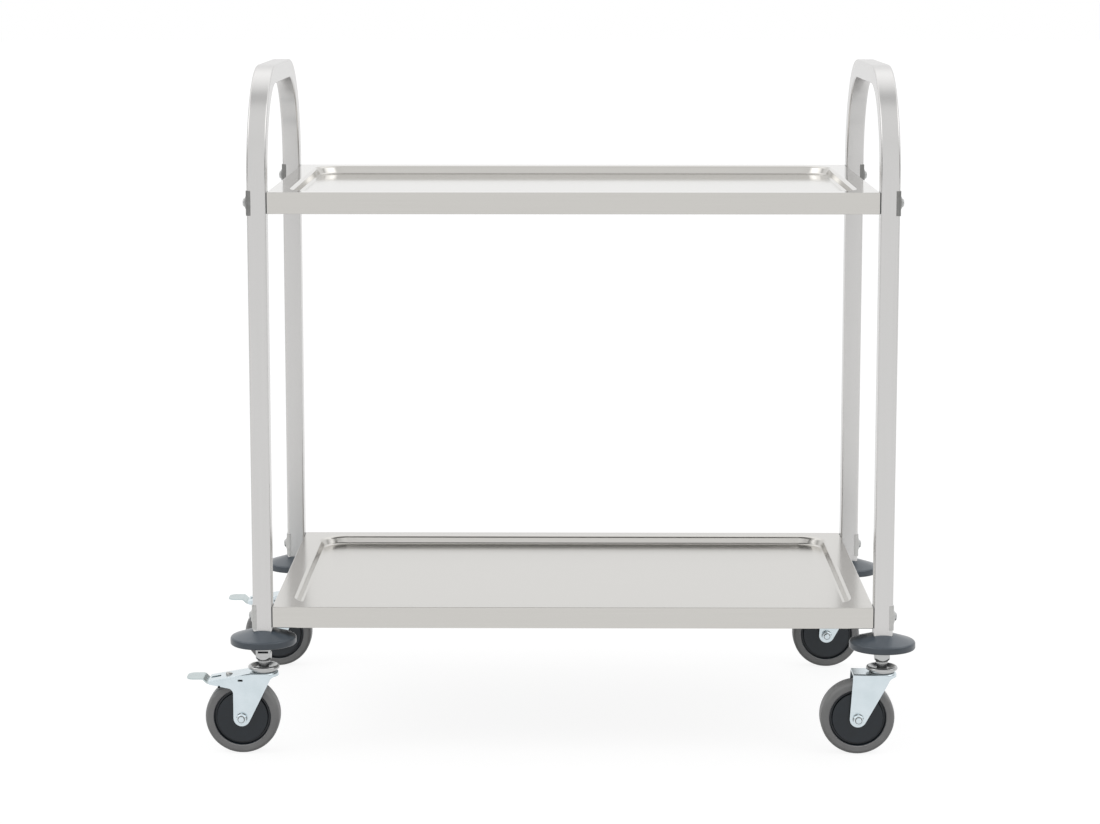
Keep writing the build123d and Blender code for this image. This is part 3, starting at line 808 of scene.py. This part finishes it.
# %% Set the forks and their rivets
RIVET = [(0, -1, 0), (4.6, -1, 0), (4.6, 1.6, 0.5), (3.4, 2.4, 0.6), (0, 2.4, 0)]
RIVET_REACH = 46
rivet = lathe(RIVET, Z_AXIS, 32)
sloped = Matrix.Rotation(radians(TAIL_SLOPE), 4, "Y")
on_tail = moved(-RIVET_REACH, 0, tail_top(RIVET_REACH)) @ sloped
for corner, spot in PLACE.items():
    body = corner + "_caster"
    fork = assembled((forks[corner in BRAKED], spot))
    finish_piece(corner + "_pressed_fork", fork, zinc, body, corner + "_fork", smooth=28)
    if corner in BRAKED:
        finish_piece(corner + "_tail_rivet", assembled((rivet, spot @ on_tail)),
                     lit_washer_metal, body)

# %% [markdown]
# ## Axle bolts and nuts
#
# Each wheel turns on a bolt through both cheeks. A rolled hexagon has a turned chamfer on its
# corners, so the hexagon and a turned blank with a chamfer are made, and what they share is the
# nut. The bolt's end stands a little out of the nut, in a dark ring of painted shade, and a plain
# washer lies under nut and head, dark with painted shade that outlines them.

# %% Cut the hexagons
bolt_low, bolt_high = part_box("front_right_axle_bolt")
nut_low, nut_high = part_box("front_right_axle_nut")
AXLE_FLATS = (nut_high.x - nut_low.x) / MM
NUT_HEIGHT = (-LEG_Y - nut_low.y) / MM - FORK_HALF
HEAD_HEIGHT = (bolt_high.y + LEG_Y) / MM - FORK_HALF
BOLT_END = NUT_HEIGHT + (nut_low.y - bolt_low.y) / MM
NUT_HOLE, HEAD_DIMPLE, HOLE_DEPTH, BOLT_RADIUS = 4.9, 3.0, 0.6, 3.9
CHAMFER_WIDE, CHAMFER_TALL = 1.6, 1.5
PLAIN_WASHER = [(0, 0, 0), (7.2, 0, 0.2), (7.2, 0.9, 0.3), (0, 0.9, 0)]


def hexagon(height, hole):
    """A hexagon with its upper corners turned off and a shallow hole in its top."""
    radius = AXLE_FLATS / 2 / cos(pi / 6)
    clear = radius * 1.01
    blank = [(0, 0, 0), (clear, 0, 0), (clear, height - CHAMFER_TALL, 0),
             (radius - CHAMFER_WIDE, height, 0.3), (hole, height, 0),
             (hole, height - HOLE_DEPTH, 0), (0, height - HOLE_DEPTH, 0)]
    bm = bmesh.new()
    bmesh.ops.create_circle(bm, cap_ends=True, segments=6, radius=radius * MM)
    pull(bm, bm.faces[:], (0, 0, 2 * height * MM))
    bmesh.ops.recalc_face_normals(bm, faces=bm.faces)
    return combine(bm, lathe(blank, Z_AXIS, 48), "INTERSECT")


nut, bolt_head = hexagon(NUT_HEIGHT, NUT_HOLE), hexagon(HEAD_HEIGHT, HEAD_DIMPLE)
bolt_end = lathe(pin_profile(BOLT_RADIUS, 0, BOLT_END, 0.7), Z_AXIS, 32)
shade_ring = lathe(pin_profile(NUT_HOLE, NUT_HEIGHT - 1, NUT_HEIGHT - 0.5), Z_AXIS, 32)
washer = lathe(PLAIN_WASHER, Z_AXIS, 48)
print("nut", round(AXLE_FLATS, 1), "mm across its flats,", round(NUT_HEIGHT, 1), "mm high")

# %% Set the axles
WHEEL_CENTRE = {corner: (x - TRAIL[corner] * MM, y, WHEEL_RADIUS * MM)
                for corner, (x, y) in CORNERS.items()}
for corner, centre in WHEEL_CENTRE.items():
    axle = Matrix.Translation(centre)
    front = axle @ moved(0, -FORK_HALF, 0) @ Matrix.Rotation(pi / 2, 4, "X")
    rear = axle @ moved(0, FORK_HALF, 0) @ Matrix.Rotation(-pi / 2, 4, "X")
    body = corner + "_caster"
    finish_piece(corner + "_hexagon_nut", assembled((nut, front)), zinc, body, corner + "_axle_nut")
    bolt = assembled((bolt_end, front), (bolt_head, rear))
    finish_piece(corner + "_axle", bolt, zinc, body, corner + "_axle_bolt")
    # The washers and the ring in the nut's hole are dark: painted shade round the nut and bolt end.
    dark = assembled((washer, front), (shade_ring, front), (washer, rear))
    finish_piece(corner + "_nut_washers_and_shade_ring", dark, shaded_washer_metal, body)

# %% [markdown]
# ## Wheels
#
# A wheel is a charcoal plastic hub with a grey tyre moulded round it. Both are turned shapes about
# the axle. The tyre's tread is nearly flat with round shoulders. The hub's face has a groove just
# inside the tyre, and a boss in the middle that keeps it off the fork's cheeks.

# %% Turn the wheels
HUB_RADIUS, HUB_HALF, BOSS, BORE = 37.5, 14.0, 9.0, 4.1
BOSS_HALF = FORK_HALF - PLATE - 0.4
HUB_FACE, GROOVE_FLOOR = HUB_HALF - 0.6, HUB_HALF - 4.5
HUB_SIDE = [(BORE, BOSS_HALF, 0), (BOSS, BOSS_HALF, 0.6), (BOSS + 0.8, HUB_FACE, 0.6),
            (33.4, HUB_FACE, 0.4), (34.0, GROOVE_FLOOR, 0.3), (36.4, GROOVE_FLOOR, 0.3),
            (36.9, HUB_HALF, 0.3), (HUB_RADIUS, HUB_HALF, 0)]
TYRE_SIDE = [(HUB_RADIUS, WHEEL_HALF - 1.2, 0), (HUB_RADIUS + 0.8, WHEEL_HALF, 0.5),
             (WHEEL_RADIUS - 2.8, WHEEL_HALF, 2.2), (WHEEL_RADIUS - 0.2, WHEEL_HALF - 3.4, 2.2),
             (WHEEL_RADIUS, 0, 0)]


def both_sides(half):
    """A closed profile from the half of it on one side of the wheel's middle."""
    return half + [(r, -h, rounding) for r, h, rounding in reversed(half) if h] + half[:1]


for corner, centre in WHEEL_CENTRE.items():
    body = corner + "_wheel"
    hub = lathe(both_sides(HUB_SIDE), Y_AXIS, 96, centre)
    finish_piece(corner + "_wheel_hub", hub, hub_plastic, body, corner + "_hub")
    tyre = lathe(both_sides(TYRE_SIDE), Y_AXIS, 128, centre)
    finish_piece(corner + "_wheel_tyre", tyre, tyre_rubber, body, corner + "_tyre")

# %% [markdown]
# ## Brake levers
#
# A tread brake is a sheet lever that hangs in the fork by two ears. Its hidden web lies under the
# fork's tail with a tooth above the tyre, and its free end steps up to the foot pedal. It is a bent
# strip, so its side line is drawn with rounded bends, pulled across to its width, cut to the
# pedal's round corners and thickened. The ears, black as painted shade in the fork's windows, and
# the black end of the brake's spring are pieces of their own.

# %% Sizes of the levers
LEVER_SHEET, LEVER_BEND, LEVER_SLOT_FRONT = 1.5, 1.8, -60
LEVER_HALF = FORK_HALF - PLATE - 0.6
PIVOT_X, PIVOT_Z, WEB_PAST_PIVOT = -29.5, 99.75, 4
PEDAL_STEP, PEDAL_RUN, PEDAL_TOP, PEDAL_ROUND = 73.0, 6, 101.75, 10.0
TOOTH_BACK, TOOTH_FRONT, TOOTH_WIDTH, TOOTH_ROUND = -58.5, -55.5, 18, 0.6
EAR_LONG, EAR_TALL, EAR_ROUND, EAR_HALF = 2.8, 0.7, 0.3, FORK_HALF - 1.6
SPRING_END = (-57.5 * MM, -(FORK_HALF - 1) * MM, 91.2 * MM)
HOOK_RADIUS, HOOK_LENGTH, HOOK_ROUND = 1.5, 2.6, 0.5
lever_low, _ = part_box("front_left_brake_lever")
PEDAL_REACH, TOOTH_FOOT = (-LEG_X - lever_low.x) / MM, lever_low.z / MM
step_height = tail_top(PEDAL_STEP, PLATE) - 0.4
lever_slope = (PIVOT_Z - step_height + LEVER_SHEET / 2) / (PEDAL_STEP + PIVOT_X)
print("pedal reaches", round(PEDAL_REACH, 1), "mm behind the stem, at", PEDAL_TOP, "mm")


# %% Bend the levers
def bent_lever():
    """The lever's strip about the swivel axis, with its slot and tooth."""
    bm = bmesh.new()
    web_top = PIVOT_Z + LEVER_SHEET / 2 + WEB_PAST_PIVOT * lever_slope
    bends = [(PIVOT_X + WEB_PAST_PIVOT, web_top), (-PEDAL_STEP, step_height),
             (-PEDAL_STEP - PEDAL_RUN, PEDAL_TOP), (-PEDAL_REACH, PEDAL_TOP)]
    verts = draw_line(bm, [(x * MM, -LEVER_HALF * MM, z * MM) for x, z in bends])
    rounded(bm, verts[1:3], LEVER_BEND * MM, 4, "VERTICES")
    draw_out(bm, bm.edges[:], (0, 2 * LEVER_HALF * MM, 0))
    tips = [v for v in bm.verts if v.co.x < (0.1 - PEDAL_REACH) * MM]
    rounded(bm, tips, PEDAL_ROUND * MM, 8, "VERTICES")
    face_towards(bm, Z_AXIS)
    thicken(bm, LEVER_SHEET * MM)
    bm = cut_tail_slot(bm, LEVER_SLOT_FRONT)
    tooth_root = PIVOT_Z + ((TOOTH_BACK + TOOTH_FRONT) / 2 - PIVOT_X) * lever_slope
    tooth = [(TOOTH_BACK, TOOTH_FOOT, TOOTH_ROUND), (TOOTH_FRONT, TOOTH_FOOT, TOOTH_ROUND),
             (TOOTH_FRONT, tooth_root, 0), (TOOTH_BACK, tooth_root, 0)]
    return assembled((bm, Matrix()),
                     (slab(tooth, SIDE_VIEW, TOOTH_WIDTH), moved(0, TOOTH_WIDTH / 2, 0)))


lever = bent_lever()
ear = rectangle(PIVOT_X - EAR_LONG, PIVOT_X + EAR_LONG, PIVOT_Z - EAR_TALL, PIVOT_Z + EAR_TALL,
                EAR_ROUND)
ears = slab(ear, moved(0, EAR_HALF, 0) @ SIDE_VIEW, 2 * EAR_HALF)
hook = lathe(pin_profile(HOOK_RADIUS, 0, HOOK_LENGTH, HOOK_ROUND), -Y_AXIS, 16, SPRING_END)
print("lever", len(lever.faces), "faces")

# %% Set the levers, and finish the CAD nodes that stay
for corner in BRAKED:
    spot, body = PLACE[corner], corner + "_brake"
    finish_piece(corner + "_tread_lever", assembled((lever, spot)), lever_zinc, body,
                 corner + "_brake_lever")
    # The ears are black: painted shade in the fork's windows.
    finish_piece(corner + "_lever_ears", assembled((ears, spot)), black_and_shade_steel, body)
    finish_piece(corner + "_spring_hook", assembled((hook, spot)), black_and_shade_steel, corner + "_caster")
for node in ("shelf_nuts", "front_left_brake_spring", "rear_left_brake_spring"):
    frame["nodes"][node].data.materials.clear()
    frame["nodes"][node].data.materials.append(zinc)
    print(node, "is shown from the CAD")

# %% [markdown]
# ## Studio
#
# The photograph has a white background and no lamp to be seen in the steel. So the world is white
# to the camera, and in reflections it is a room of soft bands: paler and darker walls, and a
# ceiling. Lamps would show as hard patches in the trays, so the two large ones light only the matt
# surfaces, and reflections see a soft glow in their place. The floor is a pale sheet that keeps a
# soft shadow under the wheels.

# %% Rays and directions
scene = bpy.context.scene
scene.world = bpy.data.worlds.new("white_studio")
scene.world.use_nodes = True
sky, room_tree = scene.world.node_tree.nodes["Background"], scene.world.node_tree


def ray_kinds(tree):
    """Sockets that are 1 for the camera's rays, and 1 for rays that a surface mirrors or passes."""
    path = add_node(tree, "LightPath", {})
    mirrored = add_node(tree, "Math", {0: path.outputs["Is Glossy Ray"],
                                       1: path.outputs["Is Transmission Ray"]}, operation="MAXIMUM")
    return path.outputs["Is Camera Ray"], mirrored.outputs[0]


seen, mirrored = ray_kinds(room_tree)
heading = add_node(room_tree, "TexCoord", {}).outputs["Generated"]
aim = add_node(room_tree, "SeparateXYZ", {0: heading}).outputs
print("world", scene.world.name)

# %% Walls and ceiling
# Each stop is a place, from 0 at the camera's side to 1 at the far side, and its brightness.
WALLS = ((0.10, 1.0), (0.19, 0.36), (0.60, 0.36), (0.74, 1.0))
CEILING = ((0.43, 0.62), (0.48, 0.40), (0.56, 0.40), (0.62, 0.64), (0.74, 0.82), (0.88, 0.92))
CEILING_STARTS, CEILING_FULL, CEILING_LIGHT = 0.45, 0.7, 1.6
far_side = add_node(room_tree, "MapRange", {"Value": aim["Y"], "From Min": -1.0, "From Max": 1.0})
bands = []
for stops in (WALLS, CEILING):
    ramp = add_node(room_tree, "ValToRGB", {"Fac": far_side.outputs[0]})
    for _ in stops[2:]:
        ramp.color_ramp.elements.new(0.5)
    for element, (position, shade) in zip(ramp.color_ramp.elements, stops):
        element.position, element.color = position, [shade] * 3 + [1]
    bands.append(ramp.outputs["Color"])
overhead = add_node(room_tree, "MapRange", {"Value": aim["Z"], "From Min": CEILING_STARTS,
                                            "From Max": CEILING_FULL})
lit = add_node(room_tree, "Math", {0: bands[1], 1: CEILING_LIGHT}, operation="MULTIPLY")
room = add_node(room_tree, "MapRange", {"Value": overhead.outputs[0], "To Min": bands[0],
                                        "To Max": lit.outputs[0]})
print("bands", len(WALLS), "on the walls,", len(CEILING), "on the ceiling")

# %% Glow and strength
LAMP, LAMP_AIM = Vector((2.6, -0.6, 2.8)), Vector((0, 0, 0.45))
GLOW_EDGE, GLOW_CORE, GLOW_LIGHT = radians(32), radians(8), 1.2
MATT_SHARE = 0.65  # how much of the room's brightness lights the matt surfaces
either_side = add_node(room_tree, "Math", {0: aim["X"]}, operation="ABSOLUTE")
folded = add_node(room_tree, "CombineXYZ", {"X": either_side.outputs[0], "Y": aim["Y"],
                                            "Z": aim["Z"]})
towards = add_node(room_tree, "VectorMath", {0: folded.outputs[0],
                                             1: (LAMP - LAMP_AIM).normalized()},
                   operation="DOT_PRODUCT")
glow = add_node(room_tree, "MapRange", {"Value": towards.outputs["Value"],
                                        "From Min": cos(GLOW_EDGE), "From Max": cos(GLOW_CORE),
                                        "To Max": GLOW_LIGHT}, interpolation_type="SMOOTHSTEP")
mirrored_glow = add_node(room_tree, "Math", {0: glow.outputs[0], 1: mirrored}, operation="MULTIPLY")
share = add_node(room_tree, "MapRange", {"Value": mirrored, "To Min": MATT_SHARE, "To Max": 1.0})
light = add_node(room_tree, "Math", {0: room.outputs[0], 1: share.outputs[0],
                                     2: mirrored_glow.outputs[0]}, operation="MULTIPLY_ADD")
strength = add_node(room_tree, "Math", {0: light.outputs[0], 1: seen}, operation="MAXIMUM")
connect(room_tree, sky, {"Color": (1, 1, 1, 1), "Strength": strength.outputs[0]})
print("world nodes", len(room_tree.nodes))

# %% Floor
FLOOR_SIZE, FLOOR_SHOWN, FLOOR_MIRRORED = 30, 0.88, 0.86
# Matt white paper: its own glow shows it white, and its grey still takes the cart's shadow.
floor_material, floor_tree, floor_shader = new_material("matt_white_floor")
seen, mirrored = ray_kinds(floor_tree)
dimmer = add_node(floor_tree, "Math", {0: mirrored, 1: FLOOR_MIRRORED}, operation="MULTIPLY")
shown = add_node(floor_tree, "Math", {0: seen, 1: FLOOR_SHOWN}, operation="MULTIPLY")
floor_glow = add_node(floor_tree, "Math", {0: dimmer.outputs[0], 1: shown.outputs[0]},
                      operation="MAXIMUM")
connect(floor_tree, floor_shader, {"Base Color": colour("#646464"), "Roughness": 0.9,
                                   "Emission Color": (1, 1, 1, 1),
                                   "Emission Strength": floor_glow.outputs[0]})
bm = bmesh.new()
bmesh.ops.create_grid(bm, x_segments=1, y_segments=1, size=FLOOR_SIZE)
floor_mesh = bpy.data.meshes.new("studio_floor")
bm.to_mesh(floor_mesh)
bm.free()
floor_mesh.materials.append(floor_material)
studio_floor = bpy.data.objects.new("studio_floor", floor_mesh)
scene.collection.objects.link(studio_floor)
print("floor", 2 * FLOOR_SIZE, "m across")

# %% Lamps
LAMP_SIZE, LAMP_WATTS = 3.2, 50
for name, place in (("upper_left", LAMP * Vector((-1, 1, 1))), ("upper_right", LAMP)):
    lamp = bpy.data.lights.new(name, "AREA")
    lamp.shape, lamp.size, lamp.energy = "DISK", LAMP_SIZE, LAMP_WATTS
    softbox = bpy.data.objects.new(name, lamp)
    softbox.location = place
    softbox.rotation_euler = (LAMP_AIM - place).to_track_quat("-Z", "Y").to_euler()
    softbox.visible_glossy = False
    scene.collection.objects.link(softbox)
print("lamps", len(bpy.data.lights))

# %% [markdown]
# ## Camera
#
# The photograph looks at the cart's long side from just above the handles, from nearly four metres
# away. Its upright lines are parallel, which takes a large lens shift, and that would cut the cart
# off when the camera is moved round it. So most of the downward view is a tilt, and a little is
# shift.

# %% Camera
LENS, SENSOR, LENS_SHIFT = 92.69, 36, -0.05  # millimetres, and a share of the picture's width
CAMERA_PLACE = (-0.0041, -3.8729, 1.0467)  # metres
TILT, PAN = 8.121, 0.405  # degrees
lens = bpy.data.cameras.new("camera")
lens.lens, lens.sensor_width, lens.shift_y = LENS, SENSOR, LENS_SHIFT
camera = bpy.data.objects.new("camera", lens)
camera.location = CAMERA_PLACE
camera.rotation_euler = (radians(90 - TILT), 0, radians(PAN))
scene.collection.objects.link(camera)
scene.camera = camera
scene.view_settings.view_transform = "Standard"
print("camera", round(CAMERA_PLACE[2] - HANDLE_TOP, 2), "m above the handles")
